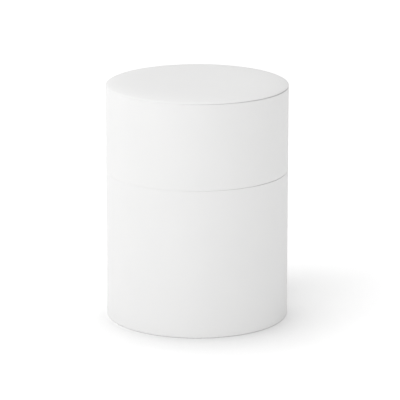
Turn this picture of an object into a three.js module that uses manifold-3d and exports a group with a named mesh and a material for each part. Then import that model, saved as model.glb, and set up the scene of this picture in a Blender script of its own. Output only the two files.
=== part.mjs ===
// Round storage tin, closed. A painted steel body and a slip-over lid stand flush with each other.
// Inside the body is a tinplate sleeve, whose neck the lid slides on, and a plug-in inner lid with a knob.
// Millimetres, +Z up; the origin is on the table at the centre of the foot.
import * as THREE from 'three';
import { mergeVertices } from 'three/addons/utils/BufferGeometryUtils.js';
import Module from 'manifold-3d';

// Overall
const OUTER_DIAMETER = 92; // painted walls of the body and of the lid
const BODY_HEIGHT = 75.4; // table to the upper edge of the body's wall
const LID_HEIGHT = 46; // lower edge of the lid to the flat middle of its top
const LID_SEAM = 0.1; // line between the closed lid and the body

// Sheet and fits
const PAINTED_SHEET = 0.35; // painted steel of the walls, the top and the base
const TINPLATE = 0.3; // bright sheet of the sleeve and of the inner lid
const HEM_DEPTH = 5; // folded edges of the two painted walls
const SLIDE_CLEARANCE = 0.15; // on the radius, between the hems and the sleeve
const SOLDER_GAP = 0.1; // between two pieces that are soldered or clamped together
const SEAT_GAP = 0.1; // between the inner lid and the sleeve's mouth

// Foot and base
const FOOT_BEND = 0.45; // inside radius where the body's wall turns in under the base
const FOOT_LIP = 3; // width of the turned-in ring that the tin stands on
const BASE_RECESS = 3; // table to the underside of the base
const BASE_BEND = 0.45; // inside radius of the base's turned-down edge
const BASE_STEP = 0.8; // how far the middle of the base is pressed down
const BASE_RING = 11.5; // width of the flat ring around that middle

// Sleeve
const MOUTH_HEM = 4; // folded edge of the sleeve's mouth
const FLOOR_FLANGE = 6; // turned-up edge of the sleeve's floor
const FLOOR_BEND = 1; // inside radius of that edge

// Lid
const CROWN_WIDTH = 20; // softly rounded outer part of the lid's top, seen from above
const CROWN_DROP = 2.25; // how far it falls from the flat middle to the edge
const TOP_SEAM = 0.1; // line between the lid's top and its wall
const TOP_FLANGE = 5; // turned-down edge of the top, inside the wall, from that line down
const HEADROOM = 3; // free height above the knob when the lid is closed

// Inner lid
const RIM_FOLD = 3; // width of the disc's folded rim
const PANEL_RISE = 1.2; // how far the middle of the disc is pressed up
const PANEL_RING = 10; // width of the flat ring around that middle
const SKIRT_DEPTH = 10; // height of the ring that plugs the mouth
const SKIRT_HEM = 3; // folded lower edge of the ring
const SKIRT_CLEARANCE = 0.2; // on the radius, between the ring and the mouth

// Knob and its screw
const KNOB_FOOT_DIAMETER = 12;
const KNOB_FOOT_HEIGHT = 1.3;
const KNOB_WAIST_DIAMETER = 8;
const KNOB_WAIST_HEIGHT = 5; // from the foot to the underside of the head
const KNOB_HEAD_DIAMETER = 17;
const KNOB_HEAD_EDGE = 1; // rounding under the edge of the head
const KNOB_DOME = 3.7; // from that rounding to the top
const SCREW_DIAMETER = 3;
const SCREW_LENGTH = 7; // from the head to the tip
const SCREW_TIP = 0.45; // bevel at the tip
const SCREW_CLEARANCE = 0.12; // on the radius, in the knob, the disc and the washer
const BORE_SPARE = 0.7; // bore in the knob beyond the tip
const HEAD_DIAMETER = 5.6;
const HEAD_HEIGHT = 1.9;
const HEAD_ROUND = 1.05; // rounding of the head's edge
const RECESS_LENGTH = 3.2; // cross recess in the head
const RECESS_WIDTH = 0.7;
const RECESS_DEPTH = 1;
const WASHER_DIAMETER = 9;
const WASHER_THICKNESS = 0.6;

// Facets
const WALL_SEGMENTS = 60;
const KNOB_SEGMENTS = 32;
const ARC_STEPS = 2;

// Radii and levels that follow from the sizes above
const wallOuter = OUTER_DIAMETER / 2;
const wallInner = wallOuter - PAINTED_SHEET;
const sleeveOuter = wallOuter - 2 * PAINTED_SHEET - SLIDE_CLEARANCE;
const sleeveInner = sleeveOuter - TINPLATE;
const mouthInner = sleeveOuter - 2 * TINPLATE;
const screwHole = SCREW_DIAMETER / 2 + SCREW_CLEARANCE;
const sleeveBottom = BASE_RECESS + PAINTED_SHEET + SOLDER_GAP;
const lidBottom = BODY_HEIGHT + LID_SEAM;
const panelUnder = TINPLATE + PANEL_RISE; // above the underside of the inner lid's rim
const panelTop = panelUnder + TINPLATE;
const knobHeight = KNOB_FOOT_HEIGHT + KNOB_WAIST_HEIGHT + KNOB_HEAD_EDGE + KNOB_DOME;
const innerLidHeight = panelTop + SOLDER_GAP + knobHeight;
const innerLidBottom = lidBottom + LID_HEIGHT - PAINTED_SHEET - HEADROOM - innerLidHeight;
const mouthTop = innerLidBottom - SEAT_GAP;

// Materials
function paintedSteel() {
  return new THREE.MeshStandardMaterial({ color: '#ecebe8', roughness: 0.55, metalness: 0 });
}

function brightTinplate() {
  return new THREE.MeshStandardMaterial({ color: '#c6c9cb', roughness: 0.32, metalness: 1 });
}

function turnedBrass() {
  return new THREE.MeshStandardMaterial({ color: '#b8924f', roughness: 0.3, metalness: 1 });
}

function platedSteel() {
  return new THREE.MeshStandardMaterial({ color: '#aeb2b5', roughness: 0.4, metalness: 1 });
}

// A mesh turned about the vertical axis from an outline of radius and height, drawn anticlockwise.
function turned(name, outline, material, segments = WALL_SEGMENTS) {
  const geometry = new THREE.LatheGeometry(outline.getPoints(ARC_STEPS), segments);
  geometry.rotateX(Math.PI / 2);
  const mesh = new THREE.Mesh(geometry, material);
  mesh.name = name;
  return mesh;
}

// Tube whose lower edge is folded in and whose upper edge is plain and rounded.
function tubeHemmedBelow(outer, height, sheet, hem) {
  const outline = new THREE.Path();
  outline.moveTo(outer - sheet, hem);
  outline.lineTo(outer - 2 * sheet, hem);
  outline.lineTo(outer - 2 * sheet, sheet);
  outline.absarc(outer - sheet, sheet, sheet, Math.PI, 2 * Math.PI);
  outline.lineTo(outer, height - sheet / 2);
  outline.absarc(outer - sheet / 2, height - sheet / 2, sheet / 2, 0, Math.PI);
  outline.closePath();
  return outline;
}

// Upper edge of a wall, folded in: up the outside, over, and down to the end of the fold.
function foldInAbove(outline, outer, height, sheet, hem) {
  outline.lineTo(outer, height - sheet);
  outline.absarc(outer - sheet, height - sheet, sheet, 0, Math.PI);
  outline.lineTo(outer - 2 * sheet, height - hem);
  outline.lineTo(outer - sheet, height - hem);
}

// Wall of the body, turned in at the foot and hemmed at the top.
function bodyShell() {
  const bend = FOOT_BEND + PAINTED_SHEET;
  const outline = new THREE.Path();
  outline.moveTo(wallOuter - FOOT_LIP, 0);
  outline.lineTo(wallOuter - bend, 0);
  outline.absarc(wallOuter - bend, bend, bend, -Math.PI / 2, 0);
  foldInAbove(outline, wallOuter, BODY_HEIGHT, PAINTED_SHEET, HEM_DEPTH);
  outline.lineTo(wallInner, bend);
  outline.absarc(wallOuter - bend, bend, FOOT_BEND, 0, -Math.PI / 2, true);
  outline.lineTo(wallOuter - FOOT_LIP, PAINTED_SHEET);
  outline.closePath();
  return turned('body_shell', outline, paintedSteel());
}

// Recessed base with a turned-down edge that stands on the foot's ring, and a pressed step.
function basePlate() {
  const outer = wallInner - SOLDER_GAP;
  const bend = BASE_BEND + PAINTED_SHEET;
  const edge = PAINTED_SHEET + FOOT_BEND + SOLDER_GAP;
  const top = BASE_RECESS + PAINTED_SHEET;
  const step = outer - BASE_RING;
  const outline = new THREE.Path();
  outline.moveTo(0, BASE_RECESS - BASE_STEP);
  outline.lineTo(step - BASE_STEP, BASE_RECESS - BASE_STEP);
  outline.lineTo(step, BASE_RECESS);
  outline.lineTo(outer - bend, BASE_RECESS);
  outline.absarc(outer - bend, top - bend, BASE_BEND, Math.PI / 2, 0, true);
  outline.lineTo(outer - PAINTED_SHEET, edge);
  outline.lineTo(outer, edge);
  outline.lineTo(outer, top - bend);
  outline.absarc(outer - bend, top - bend, bend, 0, Math.PI / 2);
  outline.lineTo(step, top);
  outline.lineTo(step - BASE_STEP, top - BASE_STEP);
  outline.lineTo(0, top - BASE_STEP);
  return turned('base_plate', outline, paintedSteel());
}

// Tinplate tube that stands on the base; its neck rises above the body's wall.
function innerSleeve() {
  const height = mouthTop - sleeveBottom;
  const outline = new THREE.Path();
  outline.moveTo(sleeveInner, 0);
  outline.lineTo(sleeveOuter, 0);
  foldInAbove(outline, sleeveOuter, height, TINPLATE, MOUTH_HEM);
  outline.closePath();
  const mesh = turned('inner_sleeve', outline, brightTinplate());
  mesh.position.z = sleeveBottom;
  return mesh;
}

// Tinplate pan soldered into the lower end of the sleeve.
function sleeveFloor() {
  const outer = sleeveInner - SOLDER_GAP;
  const bend = FLOOR_BEND + TINPLATE;
  const outline = new THREE.Path();
  outline.moveTo(0, 0);
  outline.lineTo(outer - bend, 0);
  outline.absarc(outer - bend, bend, bend, -Math.PI / 2, 0);
  outline.lineTo(outer, FLOOR_FLANGE);
  outline.lineTo(outer - TINPLATE, FLOOR_FLANGE);
  outline.lineTo(outer - TINPLATE, bend);
  outline.absarc(outer - bend, bend, FLOOR_BEND, 0, -Math.PI / 2, true);
  outline.lineTo(0, TINPLATE);
  const mesh = turned('sleeve_floor', outline, brightTinplate());
  mesh.position.z = sleeveBottom;
  return mesh;
}

// Wall of the lid; it ends below the edge of the top, so that a fine line shows.
function lidShell() {
  const height = LID_HEIGHT - CROWN_DROP - PAINTED_SHEET - TOP_SEAM;
  const outline = tubeHemmedBelow(wallOuter, height, PAINTED_SHEET, HEM_DEPTH);
  return turned('lid_shell', outline, paintedSteel());
}

// Top of the lid: crowned plate, rolled lip over the wall, and a turned-down edge inside the wall.
function lidTop() {
  const flange = wallInner - SOLDER_GAP;
  const flangeInner = flange - PAINTED_SHEET;
  const crown = wallOuter - CROWN_WIDTH;
  const edge = LID_HEIGHT - CROWN_DROP;
  const lip = edge - PAINTED_SHEET;
  const underside = LID_HEIGHT - PAINTED_SHEET;
  const outline = new THREE.Path();
  outline.moveTo(0, underside);
  outline.lineTo(crown, underside);
  outline.absellipse(crown, edge, flangeInner - crown, underside - edge, Math.PI / 2, 0, true);
  outline.lineTo(flangeInner, lip - TOP_FLANGE);
  outline.lineTo(flange, lip - TOP_FLANGE);
  outline.lineTo(flange, lip);
  outline.lineTo(wallInner, lip);
  outline.absarc(wallInner, edge, PAINTED_SHEET, -Math.PI / 2, 0);
  outline.absellipse(crown, edge, CROWN_WIDTH, CROWN_DROP, 0, Math.PI / 2);
  outline.lineTo(0, LID_HEIGHT);
  return turned('lid_top', outline, paintedSteel());
}

// Disc of the inner lid, flush with the neck: folded rim, raised middle, and a hole for the screw.
function innerLidDisc() {
  const rim = 2 * TINPLATE;
  const fold = sleeveOuter - RIM_FOLD;
  const step = sleeveOuter - PANEL_RING;
  const outline = new THREE.Path();
  outline.moveTo(screwHole, panelUnder);
  outline.lineTo(step - PANEL_RISE, panelUnder);
  outline.lineTo(step, TINPLATE);
  outline.lineTo(fold, TINPLATE);
  outline.lineTo(fold, 0);
  outline.lineTo(sleeveOuter - TINPLATE, 0);
  outline.absarc(sleeveOuter - TINPLATE, TINPLATE, TINPLATE, -Math.PI / 2, Math.PI / 2);
  outline.lineTo(step, rim);
  outline.lineTo(step - PANEL_RISE, panelTop);
  outline.lineTo(screwHole, panelTop);
  outline.closePath();
  return turned('inner_lid_disc', outline, brightTinplate());
}

// Ring under the disc that plugs the mouth.
function innerLidSkirt() {
  const outline = tubeHemmedBelow(mouthInner - SKIRT_CLEARANCE, SKIRT_DEPTH, TINPLATE, SKIRT_HEM);
  const mesh = turned('inner_lid_skirt', outline, brightTinplate());
  mesh.position.z = -SOLDER_GAP - SKIRT_DEPTH;
  return mesh;
}

// Turned knob: flat foot, hollowed waist, domed head, and a bore for the screw.
function knob() {
  const head = KNOB_HEAD_DIAMETER / 2;
  const foot = KNOB_FOOT_DIAMETER / 2;
  const waist = KNOB_WAIST_DIAMETER / 2;
  const waistLevel = KNOB_FOOT_HEIGHT + KNOB_WAIST_HEIGHT / 2;
  const headLevel = KNOB_FOOT_HEIGHT + KNOB_WAIST_HEIGHT;
  const edgeLevel = headLevel + KNOB_HEAD_EDGE;
  const clamped = WASHER_THICKNESS + TINPLATE + 3 * SOLDER_GAP;
  const bore = SCREW_LENGTH - clamped + BORE_SPARE;
  const outline = new THREE.Path();
  outline.moveTo(0, bore);
  outline.lineTo(screwHole, bore);
  outline.lineTo(screwHole, 0);
  outline.lineTo(foot, 0);
  outline.lineTo(foot, KNOB_FOOT_HEIGHT);
  outline.quadraticCurveTo(waist, KNOB_FOOT_HEIGHT, waist, waistLevel);
  outline.quadraticCurveTo(waist, headLevel, head - KNOB_HEAD_EDGE, headLevel);
  outline.absarc(head - KNOB_HEAD_EDGE, edgeLevel, KNOB_HEAD_EDGE, -Math.PI / 2, 0);
  outline.absellipse(0, edgeLevel, head, KNOB_DOME, 0, Math.PI / 2);
  const mesh = turned('knob', outline, turnedBrass(), KNOB_SEGMENTS);
  mesh.position.z = panelTop + SOLDER_GAP;
  return mesh;
}

// Washer under the disc, between it and the screw's head.
function knobWasher() {
  const outer = WASHER_DIAMETER / 2;
  const outline = new THREE.Path();
  outline.moveTo(screwHole, 0);
  outline.lineTo(outer, 0);
  outline.lineTo(outer, WASHER_THICKNESS);
  outline.lineTo(screwHole, WASHER_THICKNESS);
  outline.closePath();
  const mesh = turned('knob_washer', outline, platedSteel(), KNOB_SEGMENTS);
  mesh.position.z = panelUnder - SOLDER_GAP - WASHER_THICKNESS;
  return mesh;
}

const wasm = await Module();
wasm.setup();

// A closed geometry as a solid that can be cut.
function solidOf(geometry) {
  const bare = new THREE.BufferGeometry();
  const loose = geometry.index ? geometry.toNonIndexed() : geometry;
  bare.setAttribute('position', loose.getAttribute('position'));
  const merged = mergeVertices(bare, 1e-3);
  return new wasm.Manifold(
    new wasm.Mesh({
      numProp: 3,
      vertProperties: merged.attributes.position.array,
      triVerts: new Uint32Array(merged.index.array),
    }),
  );
}

// The geometry that is left when the cutters are taken out of a closed geometry.
function cutAway(geometry, cutters) {
  const left = cutters.reduce((solid, cutter) => solid.subtract(solidOf(cutter)), solidOf(geometry));
  const result = left.getMesh();
  const made = new THREE.BufferGeometry();
  made.setAttribute('position', new THREE.BufferAttribute(result.vertProperties, 3));
  made.setIndex(new THREE.BufferAttribute(result.triVerts, 1));
  made.computeVertexNormals();
  return made;
}

// Screw from below: rounded pan head with a cross recess, and a plain shank up into the knob.
function knobScrew() {
  const head = HEAD_DIAMETER / 2;
  const shank = SCREW_DIAMETER / 2;
  const outline = new THREE.Path();
  outline.moveTo(0, 0);
  outline.lineTo(head - HEAD_ROUND, 0);
  outline.absarc(head - HEAD_ROUND, HEAD_ROUND, HEAD_ROUND, -Math.PI / 2, 0);
  outline.lineTo(head, HEAD_HEIGHT);
  outline.lineTo(shank, HEAD_HEIGHT);
  outline.lineTo(shank, HEAD_HEIGHT + SCREW_LENGTH - SCREW_TIP);
  outline.lineTo(shank - SCREW_TIP, HEAD_HEIGHT + SCREW_LENGTH);
  outline.lineTo(0, HEAD_HEIGHT + SCREW_LENGTH);
  const mesh = turned('knob_screw', outline, platedSteel(), KNOB_SEGMENTS);
  const slot = new THREE.BoxGeometry(RECESS_LENGTH, RECESS_WIDTH, 2 * RECESS_DEPTH);
  const crossSlot = new THREE.BoxGeometry(RECESS_WIDTH, RECESS_LENGTH, 2 * RECESS_DEPTH);
  mesh.geometry = cutAway(mesh.geometry, [slot, crossSlot]);
  mesh.position.z = panelUnder - 2 * SOLDER_GAP - WASHER_THICKNESS - HEAD_HEIGHT;
  return mesh;
}

const body = new THREE.Group();
body.name = 'body';
body.add(bodyShell(), basePlate(), innerSleeve(), sleeveFloor());

const outerLid = new THREE.Group();
outerLid.name = 'outer_lid';
outerLid.position.z = lidBottom;
outerLid.add(lidShell(), lidTop());

const innerLid = new THREE.Group();
innerLid.name = 'inner_lid';
innerLid.position.z = innerLidBottom;
innerLid.add(innerLidDisc(), innerLidSkirt(), knob(), knobWasher(), knobScrew());

const tin = new THREE.Group();
tin.name = 'storage_tin';
tin.add(body, outerLid, innerLid);

export default tin;
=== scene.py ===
import math

import bmesh
import bpy
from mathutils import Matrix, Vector


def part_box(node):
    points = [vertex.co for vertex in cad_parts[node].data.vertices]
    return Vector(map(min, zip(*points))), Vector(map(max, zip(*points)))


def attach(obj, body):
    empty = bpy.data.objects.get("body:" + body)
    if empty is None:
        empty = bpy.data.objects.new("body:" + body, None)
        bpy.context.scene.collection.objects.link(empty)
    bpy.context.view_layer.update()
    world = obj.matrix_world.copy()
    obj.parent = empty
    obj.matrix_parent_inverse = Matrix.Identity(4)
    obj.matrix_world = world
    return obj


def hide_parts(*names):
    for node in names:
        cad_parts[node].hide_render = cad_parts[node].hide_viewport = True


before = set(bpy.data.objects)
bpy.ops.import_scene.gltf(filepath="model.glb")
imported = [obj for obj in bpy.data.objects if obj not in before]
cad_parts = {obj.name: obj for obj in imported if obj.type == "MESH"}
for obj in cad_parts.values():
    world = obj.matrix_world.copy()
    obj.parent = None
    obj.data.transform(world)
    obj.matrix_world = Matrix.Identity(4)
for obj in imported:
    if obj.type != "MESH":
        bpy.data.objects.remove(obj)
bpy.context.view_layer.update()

# Camera
# The photo is square and taken with a long lens, from a little above the lid and straight on to the front.
# Its centre lies a few pixels off the tin's middle, which the lens shift takes up. Lengths are in metres.
MM = 0.001
PHOTO_SIDE = 400
AIM_PIXEL = (197.15, 197.98)
AIM_POINT = Vector((0, 0, 60 * MM))
VIEW_ELEVATION = math.radians(14.79)
VIEW_DISTANCE = 1.383
SENSOR_WIDTH = 36.0
LENS = 245.4
toward_camera = Vector((0, -math.cos(VIEW_ELEVATION), math.sin(VIEW_ELEVATION)))
lens = bpy.data.cameras.new("photo_camera")
lens.sensor_width = SENSOR_WIDTH
lens.lens = LENS
lens.shift_x = (PHOTO_SIDE / 2 - AIM_PIXEL[0]) / PHOTO_SIDE
lens.shift_y = (AIM_PIXEL[1] - PHOTO_SIDE / 2) / PHOTO_SIDE
camera = bpy.data.objects.new("photo_camera", lens)
camera.location = AIM_POINT + VIEW_DISTANCE * toward_camera
camera.rotation_euler = toward_camera.to_track_quat("Z", "Y").to_euler()
bpy.context.scene.collection.objects.link(camera)
bpy.context.scene.camera = camera


# Body wall
# Steel sheet rolled into a tube, lapped at the back and painted matte white. Its lower edge is turned in as
# the ring that the tin stands on, and its upper edge is folded in, so that no raw edge shows.
PAINTED_SHEET = 0.35 * MM
WALL_HEM = 5 * MM
EDGE_ROUND = 0.05 * MM
FOLD_ROUND = 0.3 * MM
FOOT_BEND = 0.1 * MM
FOOT_LIP = 3 * MM
LAP_STEP = 0.2 * MM
LAP_FADE = 3 * MM
LAP_CROWDING = 0.93
WALL_STEPS = 256
ARC_STEPS = 8
SUPPORT_DISTANCE = 0.12 * MM
LONG_STRAIGHT = 4 * SUPPORT_DISTANCE
TIGHT_SIDE = math.radians(130)
FULLY_OPEN = 0.6
SHARP_ANGLE = math.radians(35)
POLE_MERGE = 0.001 * MM


class Wire:
    """One output socket in a node tree. Arithmetic on it adds Math nodes to that tree."""

    # Places of the two colours and of the mixed colour among the sockets of a Mix node.
    FIRST_COLOUR = 6
    SECOND_COLOUR = 7
    MIXED_COLOUR = 2

    def __init__(self, socket):
        self.socket = socket
        self.tree = socket.id_data

    @classmethod
    def node(cls, tree, kind, settings=None, inputs=None, output=0):
        """Add a node: its settings first, then its inputs' values or links. The result is one output."""
        added = tree.nodes.new(kind)
        for name, value in (settings or {}).items():
            setattr(added, name, value)
        for name, value in (inputs or {}).items():
            cls.feed(tree, added.inputs[name], value)
        return cls(added.outputs[output])

    @classmethod
    def feed(cls, tree, socket, value):
        """Link a wire to an input socket, or set the socket to a plain value."""
        if isinstance(value, cls):
            tree.links.new(value.socket, socket)
        else:
            socket.default_value = value

    @classmethod
    def mix(cls, factor, first, second):
        """A colour between two colours."""
        settings = {"data_type": "RGBA"}
        inputs = {"Factor": factor, cls.FIRST_COLOUR: first, cls.SECOND_COLOUR: second}
        return cls.node(factor.tree, "ShaderNodeMix", settings, inputs, output=cls.MIXED_COLOUR)

    def math(self, operation, *operands):
        """The result of a Math node on wires or plain numbers."""
        settings = {"operation": operation}
        return Wire.node(self.tree, "ShaderNodeMath", settings, dict(enumerate(operands)))

    def __add__(self, other):
        return self.math("ADD", self, other)

    __radd__ = __add__

    def __sub__(self, other):
        return self.math("SUBTRACT", self, other)

    def __rsub__(self, other):
        return self.math("SUBTRACT", other, self)

    def __mul__(self, other):
        return self.math("MULTIPLY", self, other)

    __rmul__ = __mul__

    def __truediv__(self, other):
        return self.math("DIVIDE", self, other)

    def __gt__(self, other):
        return self.math("GREATER_THAN", self, other)


def input_sockets(tree, sockets):
    """Give a geometry tree its named inputs. The result is the group input's wires and the identifiers."""
    for name, kind in sockets.items():
        tree.interface.new_socket(name, in_out="INPUT", socket_type="NodeSocket" + kind)
    tree.interface.new_socket("Geometry", in_out="OUTPUT", socket_type="NodeSocketGeometry")
    source = tree.nodes.new("NodeGroupInput")
    wires = {name: Wire(source.outputs[name]) for name in sockets}
    inputs = [item for item in tree.interface.items_tree if item.in_out == "INPUT"]
    return wires, {item.name: item.identifier for item in inputs}


def finish_tree(tree, shape, finish):
    """End a geometry tree: smooth, real geometry in its finish."""
    smooth = Wire.node(tree, "GeometryNodeSetShadeSmooth", None, {"Geometry": shape})
    real = Wire.node(tree, "GeometryNodeRealizeInstances", None, {"Geometry": smooth})
    coated = Wire.node(tree, "GeometryNodeSetMaterial", None, {"Geometry": real, "Material": finish})
    tree.links.new(coated.socket, tree.nodes.new("NodeGroupOutput").inputs["Geometry"])


def axes(tree, place):
    """The X, Y and Z wires of a place."""
    return [Wire.node(tree, "ShaderNodeSeparateXYZ", None, {"Vector": place}, output=axis) for axis in "XYZ"]


def from_axis(x, y):
    """How far a place lies from the tin's axis."""
    return x.math("SQRT", x * x + y * y)


def turning_tree():
    """Turns an outline about the upright axis, with the rolled sheet's lap and finer steps at the back.
    A gap may open below and above the sheet. It is closed on the tight side and widens away from there."""
    tree = bpy.data.node_groups.new("turned_sheet", "GeometryNodeTree")
    size, identifiers = input_sockets(tree, {
        "Outline": "Geometry",
        "Turning radius": "Float",
        "Steps": "Int",
        "Lap step": "Float",
        "Lap fade": "Float",
        "Lap crowding": "Float",
        "Low edge": "Float",
        "High edge": "Float",
        "Opening below": "Float",
        "Opening above": "Float",
        "Tight side": "Float",
        "Finish": "Material",
    })
    x, y, z = axes(tree, Wire.node(tree, "GeometryNodeInputPosition"))
    outline = Wire.node(tree, "GeometryNodeMeshToCurve", None, {"Mesh": size["Outline"]})
    section_place = {"X": x - size["Turning radius"], "Y": 0.0 - z}
    section = Wire.node(tree, "GeometryNodeSetPosition", None, {
        "Geometry": outline,
        "Position": Wire.node(tree, "ShaderNodeCombineXYZ", None, section_place),
    })
    circle = Wire.node(tree, "GeometryNodeCurvePrimitiveCircle", {"mode": "RADIUS"}, {
        "Resolution": size["Steps"],
        "Radius": size["Turning radius"],
    })
    swept = Wire.node(tree, "GeometryNodeCurveToMesh", None, {"Curve": circle, "Profile Curve": section})
    outward = Wire.node(tree, "GeometryNodeFlipFaces", None, {"Mesh": swept})
    radius = from_axis(x, y)
    even_turn = x.math("ARCTAN2", 0.0 - x, y)
    turn = even_turn - size["Lap crowding"] * even_turn.math("SINE", even_turn)
    along = turn * radius
    fade = along.math("EXPONENT", (0.0 - along) / size["Lap fade"])
    lapped = radius - size["Lap step"] * fade * (along > 0.0)
    away = (0.5 - 0.5 * turn.math("COSINE", turn - size["Tight side"])) / FULLY_OPEN
    openness = away.math("MINIMUM", away * away, 1.0)
    level = (z - size["Low edge"]) / (size["High edge"] - size["Low edge"])
    lift = size["Opening below"] * (1.0 - level) - size["Opening above"] * level
    lapped_place = {
        "X": 0.0 - lapped * turn.math("SINE", turn),
        "Y": lapped * turn.math("COSINE", turn),
        "Z": z + lift * openness,
    }
    shaped = Wire.node(tree, "GeometryNodeSetPosition", None, {
        "Geometry": outward,
        "Position": Wire.node(tree, "ShaderNodeCombineXYZ", None, lapped_place),
    })
    closed = Wire.node(tree, "GeometryNodeMergeByDistance", None, {
        "Geometry": shaped,
        "Distance": POLE_MERGE,
    })
    finish_tree(tree, closed, size["Finish"])
    return tree, identifiers


def made_piece(name, mesh, tree, identifiers, values):
    """A mesh run through a geometry tree and kept as a plain mesh."""
    piece = bpy.data.objects.new(name, mesh)
    bpy.context.scene.collection.objects.link(piece)
    modifier = piece.modifiers.new("shape", "NODES")
    modifier.node_group = tree
    for label, value in values.items():
        modifier[identifiers[label]] = value
    evaluated = piece.evaluated_get(bpy.context.evaluated_depsgraph_get())
    plain = bpy.data.meshes.new_from_object(evaluated)
    plain.name = name
    piece.modifiers.remove(modifier)
    piece.data = plain
    plain.set_sharp_from_angle(angle=SHARP_ANGLE)
    return piece


def arc(centre, radii, start, end, steps=ARC_STEPS):
    """Points of an outline on an arc, with one radius, or one across and one up. Angles are in degrees."""
    across, up = radii if isinstance(radii, tuple) else (radii, radii)
    turns = [math.radians(start + (end - start) * i / steps) for i in range(steps + 1)]
    return [(centre[0] + across * math.cos(t), centre[1] + up * math.sin(t)) for t in turns]


def supported(outline, closed):
    """The outline with points near the ends of each long straight, so that flats stay flat beside arcs."""
    corners = outline + outline[:1] if closed else outline
    points = []
    for (r0, z0), (r1, z1) in zip(corners, corners[1:]):
        length = math.hypot(r1 - r0, z1 - z0)
        points.append((r0, z0))
        if length > LONG_STRAIGHT:
            share = SUPPORT_DISTANCE / length
            points.append((r0 + (r1 - r0) * share, z0 + (z1 - z0) * share))
            points.append((r1 + (r0 - r1) * share, z1 + (z0 - z1) * share))
    return points if closed else points + outline[-1:]


turned_sheet, turned_sheet_inputs = turning_tree()


def turned(name, outline, closed, finish, steps=WALL_STEPS, lap_step=0.0, openings=(0.0, 0.0)):
    """A piece turned from an outline of (radius, height) points, drawn anticlockwise."""
    points = supported(outline, closed)
    last = len(points) - 1
    edges = [(i, i + 1) for i in range(last)] + ([(last, 0)] if closed else [])
    mesh = bpy.data.meshes.new(name + "_outline")
    mesh.from_pydata([(r, 0, z) for r, z in points], edges, [])
    return made_piece(name, mesh, turned_sheet, turned_sheet_inputs, {
        "Turning radius": max(r for r, z in points),
        "Steps": steps,
        "Lap step": lap_step,
        "Lap fade": LAP_FADE,
        "Lap crowding": LAP_CROWDING if lap_step else 0.0,
        "Low edge": min(z for r, z in points),
        "High edge": max(z for r, z in points),
        "Opening below": openings[0],
        "Opening above": openings[1],
        "Tight side": TIGHT_SIDE,
        "Finish": finish,
    })


def on_body(piece, body, node):
    """The piece stands for a node of the frame, whose own mesh is hidden, and moves with its body."""
    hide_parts(node)
    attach(piece, body)


def noise(tree, place, size, detail=2.0):
    """Noise from 0 to 1, with lumps of about the given size."""
    inputs = {"Vector": place, "Scale": 1 / size, "Detail": detail}
    return Wire.node(tree, "ShaderNodeTexNoise", None, inputs)


def bumps(tree, height, distance):
    """The normal of a surface whose bumps are as high as the distance."""
    inputs = {"Strength": 1.0, "Distance": distance, "Height": height}
    return Wire.node(tree, "ShaderNodeBump", None, inputs)


def new_finish(name):
    """A material, its node tree, its shader and the wire of its object coordinates."""
    material = bpy.data.materials.new(name)
    material.use_nodes = True
    tree = material.node_tree
    place = Wire.node(tree, "ShaderNodeTexCoord", output="Object")
    return material, tree, tree.nodes["Principled BSDF"], place


PAINT_LIGHT = (0.844, 0.843, 0.839, 1)
PAINT_DEEP = (0.825, 0.824, 0.821, 1)
PAINT_CLOUD = 18 * MM
PAINT_PEEL = 0.7 * MM
PAINT_GRAIN = 0.12 * MM
PAINT_PEEL_HEIGHT = 0.006 * MM
PAINT_ROUGHNESS = 0.5
PAINT_ROUGHNESS_SPREAD = 0.16
PAINT_SPECULAR = 0.2


def white_paint():
    """Matte stoved paint: a slight cloudiness of tone, soft orange peel and a fine grain in its gloss."""
    material, tree, shader, place = new_finish("matte_white_paint")
    tone = Wire.mix(noise(tree, place, PAINT_CLOUD), PAINT_LIGHT, PAINT_DEEP)
    gloss = PAINT_ROUGHNESS + PAINT_ROUGHNESS_SPREAD * (noise(tree, place, PAINT_GRAIN) - 0.5)
    peel = bumps(tree, noise(tree, place, PAINT_PEEL), PAINT_PEEL_HEIGHT)
    Wire.feed(tree, shader.inputs["Base Color"], tone)
    Wire.feed(tree, shader.inputs["Roughness"], gloss)
    Wire.feed(tree, shader.inputs["Normal"], peel)
    shader.inputs["Specular IOR Level"].default_value = PAINT_SPECULAR
    return material


paint = white_paint()
wall_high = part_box("body_shell")[1]
tin_radius = wall_high.x
wall_inner = tin_radius - PAINTED_SHEET
hem_inner = tin_radius - 2 * PAINTED_SHEET
body_top = wall_high.z
foot_bend = FOOT_BEND + PAINTED_SHEET
foot_centre = (tin_radius - foot_bend, foot_bend)
body_wall = turned("body_wall", [
    (tin_radius - FOOT_LIP, 0),
    *arc(foot_centre, foot_bend, -90, 0),
    *arc((tin_radius - EDGE_ROUND, body_top - EDGE_ROUND), EDGE_ROUND, 0, 90),
    *arc((hem_inner + FOLD_ROUND, body_top - FOLD_ROUND), FOLD_ROUND, 90, 180),
    (hem_inner, body_top - WALL_HEM),
    (wall_inner, body_top - WALL_HEM),
    *arc(foot_centre, FOOT_BEND, 0, -90),
    (tin_radius - FOOT_LIP, PAINTED_SHEET),
], True, paint, lap_step=LAP_STEP)
on_body(body_wall, "body", "body_shell")


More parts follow.
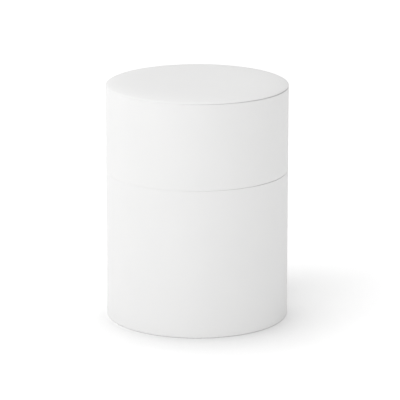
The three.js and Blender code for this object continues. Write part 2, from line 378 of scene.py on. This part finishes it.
# Base
# Painted steel plate pressed with a shallow step, its edge turned down. It is pushed up into the foot of the
# wall, where it stands on the turned-in ring.
BASE_BEND = 0.45 * MM
BASE_STEP = 0.8 * MM
BASE_RING = 11.5 * MM
base_low, base_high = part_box("base_plate")
base_radius = base_high.x
base_top = base_high.z
base_under = base_top - PAINTED_SHEET
base_edge = base_low.z
base_bend = BASE_BEND + PAINTED_SHEET
base_corner = (base_radius - base_bend, base_top - base_bend)
base_step = base_radius - BASE_RING
base_plate = turned("base_pan", [
    (0, base_under - BASE_STEP),
    (base_step - BASE_STEP, base_under - BASE_STEP),
    (base_step, base_under),
    *arc(base_corner, BASE_BEND, 90, 0),
    (base_radius - PAINTED_SHEET, base_edge),
    (base_radius, base_edge),
    *arc(base_corner, base_bend, 0, 90),
    (base_step, base_top),
    (base_step - BASE_STEP, base_top - BASE_STEP),
    (0, base_top - BASE_STEP),
], False, paint)
on_body(base_plate, "body", "base_plate")


# Inner sleeve
# Bright tinplate rolled into a tube and lapped at the back. It stands on the base, and its neck rises out of
# the body, with a folded mouth, for the lid to slide on.
TINPLATE = 0.3 * MM
TIN_LAP_STEP = 0.12 * MM
MOUTH_HEM = 4 * MM
TIN_LIGHT = (0.74, 0.745, 0.757, 1)
TIN_DEEP = (0.60, 0.61, 0.63, 1)
TIN_GRAIN = 0.22 * MM
TIN_GRAIN_DETAIL = 4.0
TIN_STREAK = 22 * MM
TIN_CLOUD = 14 * MM
TIN_CLOUD_SHARE = 0.6
TIN_ROUGHNESS = 0.27
TIN_ROUGHNESS_SPREAD = 0.16
TIN_MATT_INSIDE = 0.3
TIN_GRAIN_HEIGHT = 0.0012 * MM


def tinplate(name, spun):
    """Tinned steel. Its rolling grain runs round a tube, which is left matt inside. On a spun disc the grain
    lies in rings about the axis."""
    material, tree, shader, place = new_finish(name)
    x, y, z = axes(tree, place)
    radius = from_axis(x, y)
    across = radius if spun else z
    round_about = 2 * tin_radius / TIN_STREAK
    grain_place = Wire.node(tree, "ShaderNodeCombineXYZ", None, {
        "X": x / radius * round_about,
        "Y": y / radius * round_about,
        "Z": across / TIN_GRAIN,
    })
    grain = noise(tree, grain_place, size=1.0, detail=TIN_GRAIN_DETAIL)
    tone = TIN_CLOUD_SHARE * noise(tree, place, TIN_CLOUD) + (1 - TIN_CLOUD_SHARE) * grain
    gloss = TIN_ROUGHNESS + TIN_ROUGHNESS_SPREAD * (grain - 0.5)
    if not spun:
        normal = Wire.node(tree, "ShaderNodeNewGeometry", output="Normal")
        normal_x, normal_y = axes(tree, normal)[:2]
        facing_axis = 0.0 - (normal_x * x + normal_y * y) / radius
        gloss = gloss + TIN_MATT_INSIDE * radius.math("MAXIMUM", facing_axis, 0.0)
    Wire.feed(tree, shader.inputs["Base Color"], Wire.mix(tone, TIN_LIGHT, TIN_DEEP))
    Wire.feed(tree, shader.inputs["Roughness"], gloss)
    Wire.feed(tree, shader.inputs["Normal"], bumps(tree, grain, TIN_GRAIN_HEIGHT))
    shader.inputs["Metallic"].default_value = 1.0
    return material


rolled_tin = tinplate("rolled_tinplate", spun=False)
sleeve_low, sleeve_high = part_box("inner_sleeve")
sleeve_radius = sleeve_high.x
sleeve_inner = sleeve_radius - TINPLATE
mouth_inner = sleeve_radius - 2 * TINPLATE
mouth_top = sleeve_high.z
inner_sleeve = turned("sleeve_tube", [
    (sleeve_inner, sleeve_low.z),
    (sleeve_radius, sleeve_low.z),
    *arc((sleeve_inner, mouth_top - TINPLATE), TINPLATE, 0, 180),
    (mouth_inner, mouth_top - MOUTH_HEM),
    (sleeve_inner, mouth_top - MOUTH_HEM),
], True, rolled_tin, lap_step=TIN_LAP_STEP)
on_body(inner_sleeve, "body", "inner_sleeve")


# Sleeve floor
# A tinplate pan pressed with an upright edge and soldered into the lower end of the sleeve. The solder is a
# thin, slightly uneven bead along the top of that edge.
FLOOR_BEND = 1 * MM
BEAD_STEPS = 240
BEAD_SIDES = 10
BEAD_UNEVEN = 0.35
BEAD_LUMP = 5 * MM
FLOOR_BEAD = 0.3 * MM
SOLDER_LIGHT = (0.60, 0.60, 0.61, 1)
SOLDER_DEEP = (0.45, 0.45, 0.47, 1)
SOLDER_LUMP = 1.5 * MM
SOLDER_ROUGHNESS = 0.36
SOLDER_ROUGHNESS_SPREAD = 0.2


def solder():
    """Bright solder with a soft, mottled gloss."""
    material, tree, shader, place = new_finish("solder")
    mottle = noise(tree, place, SOLDER_LUMP)
    Wire.feed(tree, shader.inputs["Base Color"], Wire.mix(mottle, SOLDER_LIGHT, SOLDER_DEEP))
    Wire.feed(tree, shader.inputs["Roughness"], SOLDER_ROUGHNESS + SOLDER_ROUGHNESS_SPREAD * (mottle - 0.5))
    shader.inputs["Metallic"].default_value = 1.0
    return material


def bead_tree():
    """A bead of solder that runs round a circle and swells and thins a little on its way."""
    tree = bpy.data.node_groups.new("solder_bead", "GeometryNodeTree")
    size, identifiers = input_sockets(tree, {
        "Geometry in": "Geometry",
        "Radius": "Float",
        "Height": "Float",
        "Bead": "Float",
        "Unevenness": "Float",
        "Seed": "Float",
        "Finish": "Material",
    })
    circle = Wire.node(tree, "GeometryNodeCurvePrimitiveCircle", {"mode": "RADIUS"}, {
        "Resolution": BEAD_STEPS,
        "Radius": size["Radius"],
    })
    lift = Wire.node(tree, "ShaderNodeCombineXYZ", None, {"Z": size["Height"]})
    raised = Wire.node(tree, "GeometryNodeSetPosition", None, {"Geometry": circle, "Offset": lift})
    lumps = Wire.node(tree, "ShaderNodeTexNoise", {"noise_dimensions": "4D"}, {
        "Vector": Wire.node(tree, "GeometryNodeInputPosition"),
        "W": size["Seed"],
        "Scale": 1 / BEAD_LUMP,
    })
    swell = 1.0 + size["Unevenness"] * (2.0 * lumps - 1.0)
    swelling = Wire.node(tree, "GeometryNodeSetCurveRadius", None, {"Curve": raised, "Radius": swell})
    section = Wire.node(tree, "GeometryNodeCurvePrimitiveCircle", {"mode": "RADIUS"}, {
        "Resolution": BEAD_SIDES,
        "Radius": size["Bead"],
    })
    bead = Wire.node(tree, "GeometryNodeCurveToMesh", None, {
        "Curve": swelling,
        "Profile Curve": section,
        "Scale": Wire.node(tree, "GeometryNodeInputRadius"),
    })
    finish_tree(tree, bead, size["Finish"])
    return tree, identifiers


solder_finish = solder()
solder_bead, solder_bead_inputs = bead_tree()


def bead(name, body, radius, height, thickness, seed):
    """A ring of solder on a body."""
    piece = made_piece(name, bpy.data.meshes.new(name + "_start"), solder_bead, solder_bead_inputs, {
        "Radius": radius,
        "Height": height,
        "Bead": thickness,
        "Unevenness": BEAD_UNEVEN,
        "Seed": seed,
        "Finish": solder_finish,
    })
    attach(piece, body)


spun_tin = tinplate("spun_tinplate", spun=True)
floor_low, floor_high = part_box("sleeve_floor")
floor_radius = floor_high.x
floor_inner = floor_radius - TINPLATE
floor_bend = FLOOR_BEND + TINPLATE
floor_corner = (floor_radius - floor_bend, floor_low.z + floor_bend)
sleeve_floor = turned("floor_pan", [
    (0, floor_low.z),
    *arc(floor_corner, floor_bend, -90, 0),
    (floor_radius, floor_high.z),
    (floor_inner, floor_high.z),
    *arc(floor_corner, FLOOR_BEND, 0, -90),
    (0, floor_low.z + TINPLATE),
], False, spun_tin)
on_body(sleeve_floor, "body", "sleeve_floor")
bead("floor_solder", "body", floor_radius, floor_high.z, FLOOR_BEAD, seed=1.0)


# Inner lid
# A spun tinplate disc with a folded rim that rests on the mouth and a raised middle. A rolled tinplate ring,
# which plugs the mouth, is soldered under it.
RIM_FOLD = 3 * MM
PANEL_RISE = 1.2 * MM
PANEL_RING = 10 * MM
SCREW_HOLE = 1.62 * MM
SKIRT_HEM = 3 * MM
SKIRT_ROUND = 0.14 * MM
SKIRT_BEAD = 0.35 * MM
disc_low, disc_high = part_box("inner_lid_disc")
rim_radius = disc_high.x
rim_centre = (rim_radius - TINPLATE, disc_low.z + TINPLATE)
panel_top = disc_high.z
panel_under = panel_top - TINPLATE
panel_edge = rim_radius - PANEL_RING
inner_lid_disc = turned("inner_lid_plate", [
    (SCREW_HOLE, panel_under),
    (panel_edge - PANEL_RISE, panel_under),
    (panel_edge, panel_under - PANEL_RISE),
    (rim_radius - RIM_FOLD, panel_under - PANEL_RISE),
    (rim_radius - RIM_FOLD, disc_low.z),
    *arc(rim_centre, TINPLATE, -90, 90),
    (panel_edge, panel_top - PANEL_RISE),
    (panel_edge - PANEL_RISE, panel_top),
    (SCREW_HOLE, panel_top),
], True, spun_tin)
on_body(inner_lid_disc, "inner_lid", "inner_lid_disc")

skirt_low, skirt_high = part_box("inner_lid_skirt")
skirt_radius = skirt_high.x
skirt_inner = skirt_radius - TINPLATE


def hemmed_below(radius, low, high, sheet, hem, fold_round, edge_round):
    """Outline of a rolled tube with its lower edge folded in, and rounder inside the fold than outside."""
    return [
        (radius - sheet, low + hem),
        (radius - 2 * sheet, low + hem),
        *arc((radius - 2 * sheet + fold_round, low + fold_round), fold_round, 180, 270),
        *arc((radius - edge_round, low + edge_round), edge_round, 270, 360),
        *arc((radius - edge_round, high - edge_round), edge_round, 0, 90),
        *arc((radius - sheet + edge_round, high - edge_round), edge_round, 90, 180),
    ]


inner_lid_skirt = turned(
    "inner_lid_ring",
    hemmed_below(skirt_radius, skirt_low.z, skirt_high.z, TINPLATE, SKIRT_HEM, SKIRT_ROUND, SKIRT_ROUND),
    True,
    rolled_tin,
    lap_step=TIN_LAP_STEP,
)
on_body(inner_lid_skirt, "inner_lid", "inner_lid_skirt")
bead("skirt_solder", "inner_lid", skirt_inner, skirt_high.z, SKIRT_BEAD, seed=2.0)


# Knob
# Turned brass, with a flat foot, a hollowed waist and a domed head. It stands on the middle of the inner
# lid, held by a screw from below in its bore.
KNOB_STEPS = 128
KNOB_DOME_STEPS = 24
KNOB_FOOT_RADIUS = 6 * MM
KNOB_FOOT_HEIGHT = 1.3 * MM
KNOB_WAIST_RADIUS = 4 * MM
KNOB_WAIST_HEIGHT = 5 * MM
KNOB_HEAD_EDGE = 1 * MM
KNOB_BORE = 6.5 * MM
KNOB_EDGE_ROUND = 0.3 * MM
BRASS_LIGHT = (0.62, 0.42, 0.17, 1)
BRASS_DEEP = (0.47, 0.29, 0.10, 1)
BRASS_GROOVE = 0.16 * MM
BRASS_GROOVE_DETAIL = 3.0
BRASS_CLOUD = 4 * MM
BRASS_CLOUD_SHARE = 0.7
BRASS_ROUGHNESS = 0.28
BRASS_ROUGHNESS_SPREAD = 0.16
BRASS_GROOVE_HEIGHT = 0.0025 * MM


def brass():
    """Turned brass: fine tool rings about the axis and a little tarnish."""
    material, tree, shader, place = new_finish("turned_brass")
    x, y, z = axes(tree, place)
    ring_place = Wire.node(tree, "ShaderNodeCombineXYZ", None, {"X": from_axis(x, y), "Z": z})
    rings = noise(tree, ring_place, BRASS_GROOVE, detail=BRASS_GROOVE_DETAIL)
    tone = BRASS_CLOUD_SHARE * noise(tree, place, BRASS_CLOUD) + (1 - BRASS_CLOUD_SHARE) * rings
    Wire.feed(tree, shader.inputs["Base Color"], Wire.mix(tone, BRASS_LIGHT, BRASS_DEEP))
    Wire.feed(tree, shader.inputs["Roughness"], BRASS_ROUGHNESS + BRASS_ROUGHNESS_SPREAD * (rings - 0.5))
    Wire.feed(tree, shader.inputs["Normal"], bumps(tree, rings, BRASS_GROOVE_HEIGHT))
    shader.inputs["Metallic"].default_value = 1.0
    return material


def bend(start, corner, end, steps=ARC_STEPS):
    """Points of an outline on a smooth bend from start to end, drawn towards a corner between them."""
    shares = [i / steps for i in range(steps + 1)]
    return [
        tuple((1 - t) ** 2 * a + 2 * t * (1 - t) * b + t * t * c for a, b, c in zip(start, corner, end))
        for t in shares
    ]


knob_low, knob_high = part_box("knob")
knob_radius = knob_high.x
knob_foot = knob_low.z
knob_foot_top = knob_foot + KNOB_FOOT_HEIGHT
knob_waist = (KNOB_WAIST_RADIUS, knob_foot_top + KNOB_WAIST_HEIGHT / 2)
knob_head = knob_foot_top + KNOB_WAIST_HEIGHT
knob_edge = knob_head + KNOB_HEAD_EDGE
knob_edge_radius = knob_radius - KNOB_HEAD_EDGE
foot_edge = KNOB_FOOT_RADIUS - KNOB_EDGE_ROUND
knob = turned("pull_knob", [
    (0, knob_foot + KNOB_BORE),
    (SCREW_HOLE, knob_foot + KNOB_BORE),
    (SCREW_HOLE, knob_foot),
    *arc((foot_edge, knob_foot + KNOB_EDGE_ROUND), KNOB_EDGE_ROUND, -90, 0),
    *arc((foot_edge, knob_foot_top - KNOB_EDGE_ROUND), KNOB_EDGE_ROUND, 0, 90),
    *bend((foot_edge, knob_foot_top), (KNOB_WAIST_RADIUS, knob_foot_top), knob_waist),
    *bend(knob_waist, (KNOB_WAIST_RADIUS, knob_head), (knob_edge_radius, knob_head))[1:],
    *arc((knob_edge_radius, knob_edge), KNOB_HEAD_EDGE, -90, 0)[1:],
    *arc((0, knob_edge), (knob_radius, knob_high.z - knob_edge), 0, 90, KNOB_DOME_STEPS)[1:],
], False, brass(), steps=KNOB_STEPS)
on_body(knob, "inner_lid", "knob")


# Knob washer and screw
# A zinc-plated steel washer under the disc and a pan-head screw with a cross recess, driven up into the knob
# from below.
WASHER_ROUND = 0.12 * MM
SMALL_STEPS = 64
SCREW_RADIUS = 1.5 * MM
SCREW_TIP = 0.45 * MM
HEAD_HEIGHT = 1.9 * MM
HEAD_ROUND = 1.05 * MM
RECESS_LENGTH = 3.2 * MM
RECESS_WIDTH = 0.7 * MM
RECESS_DEPTH = 1 * MM
RECESS_TAPER = 0.6
ZINC_LIGHT = (0.56, 0.58, 0.60, 1)
ZINC_DEEP = (0.40, 0.42, 0.45, 1)
ZINC_FLAKE = 0.5 * MM
ZINC_ROUGHNESS = 0.38
ZINC_ROUGHNESS_SPREAD = 0.2


def plated_steel():
    """Zinc plating: a pale, slightly flaky bluish grey."""
    material, tree, shader, place = new_finish("zinc_plating")
    flake = noise(tree, place, ZINC_FLAKE)
    Wire.feed(tree, shader.inputs["Base Color"], Wire.mix(flake, ZINC_LIGHT, ZINC_DEEP))
    Wire.feed(tree, shader.inputs["Roughness"], ZINC_ROUGHNESS + ZINC_ROUGHNESS_SPREAD * (flake - 0.5))
    shader.inputs["Metallic"].default_value = 1.0
    return material


zinc = plated_steel()
washer_low, washer_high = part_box("knob_washer")
washer_edge = washer_high.x - WASHER_ROUND
knob_washer = turned("clamp_washer", [
    (SCREW_HOLE, washer_low.z),
    *arc((washer_edge, washer_low.z + WASHER_ROUND), WASHER_ROUND, -90, 0),
    *arc((washer_edge, washer_high.z - WASHER_ROUND), WASHER_ROUND, 0, 90),
    (SCREW_HOLE, washer_high.z),
], True, zinc, steps=SMALL_STEPS)
on_body(knob_washer, "inner_lid", "knob_washer")


def recess_wing(mesh, length, width, depth, level):
    """Add one tapered wing of the cross recess to a mesh, upwards from just below a level."""
    corners = []
    for height, share in ((-depth, 1 + RECESS_TAPER), (depth, RECESS_TAPER)):
        for side, end in ((-1, -1), (-1, 1), (1, 1), (1, -1)):
            place = (end * length / 2 * share, side * width / 2 * share, level + height)
            corners.append(mesh.verts.new(place))
    for face in ((3, 2, 1, 0), (4, 5, 6, 7), (0, 1, 5, 4), (1, 2, 6, 5), (2, 3, 7, 6), (3, 0, 4, 7)):
        mesh.faces.new([corners[i] for i in face])


screw_low, screw_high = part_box("knob_screw")
head_radius = screw_high.x
head_top = screw_low.z + HEAD_HEIGHT
screw = turned("clamp_screw", [
    (0, screw_low.z),
    *arc((head_radius - HEAD_ROUND, screw_low.z + HEAD_ROUND), HEAD_ROUND, -90, 0),
    (head_radius, head_top),
    (SCREW_RADIUS, head_top),
    (SCREW_RADIUS, screw_high.z - SCREW_TIP),
    (SCREW_RADIUS - SCREW_TIP, screw_high.z),
    (0, screw_high.z),
], False, zinc, steps=SMALL_STEPS)
for wing_length, wing_width in ((RECESS_LENGTH, RECESS_WIDTH), (RECESS_WIDTH, RECESS_LENGTH)):
    wing = bmesh.new()
    recess_wing(wing, wing_length, wing_width, RECESS_DEPTH, screw_low.z)
    bmesh.ops.recalc_face_normals(wing, faces=wing.faces)
    cutter_mesh = bpy.data.meshes.new("recess_cutter")
    wing.to_mesh(cutter_mesh)
    wing.free()
    cutter = bpy.data.objects.new("recess_cutter", cutter_mesh)
    bpy.context.scene.collection.objects.link(cutter)
    cut = screw.modifiers.new("recess", "BOOLEAN")
    cut.object = cutter
    cut.operation = "DIFFERENCE"
    cut_screw = screw.evaluated_get(bpy.context.evaluated_depsgraph_get())
    cut_mesh = bpy.data.meshes.new_from_object(cut_screw)
    screw.modifiers.remove(cut)
    screw.data = cut_mesh
    bpy.data.objects.remove(cutter)
screw.data.set_sharp_from_angle(angle=SHARP_ANGLE)
on_body(screw, "inner_lid", "knob_screw")


# Lid wall
# Painted steel sheet, rolled and lapped like the body's wall and flush with it. Its lower edge is folded in,
# and the fold slides on the neck.
LID_LINE = 0.025 * MM
CAP_LINE = 0.02 * MM
LID_OPENING = 0.2 * MM
CAP_OPENING = 0.34 * MM
CROWN_DROP = 2.5 * MM
CAP_LIP = 0.1 * MM
top_low, top_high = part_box("lid_top")
cap_edge = top_high.z - CROWN_DROP
cap_lip = cap_edge - CAP_LIP
lid_low = body_top + LID_LINE
lid_high = cap_lip - CAP_LINE
lid_wall = turned(
    "lid_wall",
    hemmed_below(tin_radius, lid_low, lid_high, PAINTED_SHEET, WALL_HEM, FOLD_ROUND, EDGE_ROUND),
    True,
    paint,
    lap_step=LAP_STEP,
    openings=(LID_OPENING, CAP_OPENING),
)
on_body(lid_wall, "outer_lid", "lid_shell")


# Lid top
# Painted steel plate, flat in the middle and falling softly to its edge. The edge is rolled over the wall,
# with a fine line between them, and turned down inside it, where a bead of solder holds it.
CROWN_WIDTH = 20 * MM
CAP_ROUND = 0.1 * MM
CAP_FIT = 0.45 * MM
CAP_BEAD = 0.45 * MM
CROWN_STEPS = 24
flange_outer = wall_inner - CAP_FIT
flange_inner = flange_outer - PAINTED_SHEET
crown_centre = (tin_radius - CROWN_WIDTH, cap_edge)
under_crown = (flange_inner - crown_centre[0], CROWN_DROP - PAINTED_SHEET)
lid_top = turned("lid_cap", [
    (0, top_high.z - PAINTED_SHEET),
    *arc(crown_centre, under_crown, 90, 0, CROWN_STEPS),
    (flange_inner, top_low.z),
    (flange_outer, top_low.z),
    (flange_outer, cap_lip),
    *arc((tin_radius - CAP_ROUND, cap_lip + CAP_ROUND), CAP_ROUND, -90, 0),
    *arc(crown_centre, (CROWN_WIDTH, CROWN_DROP), 0, 90, CROWN_STEPS),
    (0, top_high.z),
], False, paint)
on_body(lid_top, "outer_lid", "lid_top")
bead("lid_solder", "outer_lid", flange_outer, top_low.z, CAP_BEAD, seed=3.0)


# Floor and light
# A seamless white floor in an evenly white room, with a large lamp at the back left, two smaller ones on the
# left and a low one at the front right. Painted shade darkens the floor's colour close to the tin, and where
# the floor is seen, it is lifted to white outside the shadow.
BLACK = (0, 0, 0, 1)
WHITE = (1, 1, 1, 1)
FLOOR_SIDE = 8.0
FLOOR_BOUNCE = 0.8
FLOOR_LIFT = 0.187
FAR_LIFT = 0.15
# Each entry paints shade into the floor's colour near the tin on one side, deeper where ambient occlusion
# finds the tin close: by its depth where the floor is seen, and by its bounce depth in the light that the
# floor throws back on the tin. A negative depth paints light instead. Azimuths are in degrees from the
# front, to the right.
PAINTED_SHADES = (
    {"depth": 0.77, "bounce_depth": 0.3, "reach": 80 * MM, "azimuth": -5, "narrowness": 0.9},
    {"depth": 0.61, "bounce_depth": 0.6, "reach": 80 * MM, "azimuth": 138, "narrowness": 26},
    {"depth": 0.11, "bounce_depth": 0.0, "reach": 40 * MM, "azimuth": 45, "narrowness": 23},
    {"depth": -0.05, "bounce_depth": 0.95, "reach": 160 * MM, "azimuth": 100, "narrowness": 10},
    {"depth": -0.2, "bounce_depth": 0.0, "reach": 2 * MM, "azimuth": -50, "narrowness": 5},
)
WORLD_STRENGTH = 0.673
LAMPS = {
    "front_left_lamp": {"azimuth": -45, "elevation": 30, "distance": 0.8, "side": 0.5, "power": 1.43},
    "left_lamp": {"azimuth": -70, "elevation": 20, "distance": 0.8, "side": 0.3, "power": 0.65},
    "right_lamp": {"azimuth": 45, "elevation": 10, "distance": 0.8, "side": 0.6, "power": 1.345},
    "back_lamp": {"azimuth": -120, "elevation": 45, "distance": 0.8, "side": 1.2, "power": 1.67},
}


def seen_directly(tree):
    """1 for the rays that show a surface itself: from the camera, or by way of metal or glass."""
    path = tree.nodes.new("ShaderNodeLightPath")
    camera_ray, glossy_ray, clear_ray = (
        Wire(path.outputs[name]) for name in ("Is Camera Ray", "Is Glossy Ray", "Is Transmission Ray")
    )
    return camera_ray.math("MAXIMUM", camera_ray, glossy_ray.math("MAXIMUM", glossy_ray, clear_ray))


half = FLOOR_SIDE / 2
floor_corners = [(-half, -half, 0), (half, -half, 0), (half, half, 0), (-half, half, 0)]
floor_mesh = bpy.data.meshes.new("studio_floor")
floor_mesh.from_pydata(floor_corners, [], [(0, 1, 2, 3)])
floor = bpy.data.objects.new("studio_floor", floor_mesh)
bpy.context.scene.collection.objects.link(floor)
floor_paint, floor_tree, floor_shader, floor_place = new_finish("studio_floor")
seen = seen_directly(floor_tree)
floor_x, floor_y = axes(floor_tree, floor_place)[:2]
from_middle = from_axis(floor_x, floor_y)
unshaded = 1.0
# Painted shade: each entry darkens the floor's colour by ambient occlusion on its side of the tin.
for shade in PAINTED_SHADES:
    azimuth = math.radians(shade["azimuth"])
    facing = (math.sin(azimuth) * floor_x - math.cos(azimuth) * floor_y) / from_middle
    side = facing.math("POWER", 0.5 + 0.5 * facing, shade["narrowness"])
    depth = shade["bounce_depth"] + (shade["depth"] - shade["bounce_depth"]) * seen
    nearby = {"Distance": shade["reach"]}
    openness = Wire.node(floor_tree, "ShaderNodeAmbientOcclusion", None, nearby, output="AO")
    unshaded = unshaded - depth * side * (1.0 - openness)
whiteness = unshaded * (FLOOR_BOUNCE + (1.0 - FLOOR_BOUNCE) * seen)
floor_lift = (FLOOR_LIFT + FAR_LIFT * from_middle) * seen * unshaded
Wire.feed(floor_tree, floor_shader.inputs["Base Color"], Wire.mix(whiteness, BLACK, WHITE))
Wire.feed(floor_tree, floor_shader.inputs["Emission Color"], Wire.mix(floor_lift, BLACK, WHITE))
floor_shader.inputs["Emission Strength"].default_value = 1.0
floor_shader.inputs["Specular IOR Level"].default_value = 0.0
floor_mesh.materials.append(floor_paint)

world = bpy.data.worlds.new("studio")
world.use_nodes = True
bpy.context.scene.world = world
world_tree = world.node_tree
world_tree.nodes.clear()
even_light = Wire.node(world_tree, "ShaderNodeBackground", None, {
    "Color": WHITE,
    "Strength": WORLD_STRENGTH,
})
white_wall = Wire.node(world_tree, "ShaderNodeBackground", None, {"Color": WHITE, "Strength": 1.0})
world_shader = Wire.node(world_tree, "ShaderNodeMixShader", None, {
    0: seen_directly(world_tree),
    1: even_light,
    2: white_wall,
})
world_tree.links.new(world_shader.socket, world_tree.nodes.new("ShaderNodeOutputWorld").inputs["Surface"])

for lamp_name, setting in LAMPS.items():
    azimuth = math.radians(setting["azimuth"])
    elevation = math.radians(setting["elevation"])
    level = math.cos(elevation)
    toward_lamp = Vector((level * math.sin(azimuth), -level * math.cos(azimuth), math.sin(elevation)))
    softbox = bpy.data.lights.new(lamp_name, "AREA")
    softbox.shape = "SQUARE"
    softbox.size = setting["side"]
    softbox.energy = setting["power"]
    lamp = bpy.data.objects.new(lamp_name, softbox)
    lamp.location = AIM_POINT + setting["distance"] * toward_lamp
    lamp.rotation_euler = toward_lamp.to_track_quat("Z", "Y").to_euler()
    bpy.context.scene.collection.objects.link(lamp)

bpy.context.scene.view_settings.view_transform = "Standard"
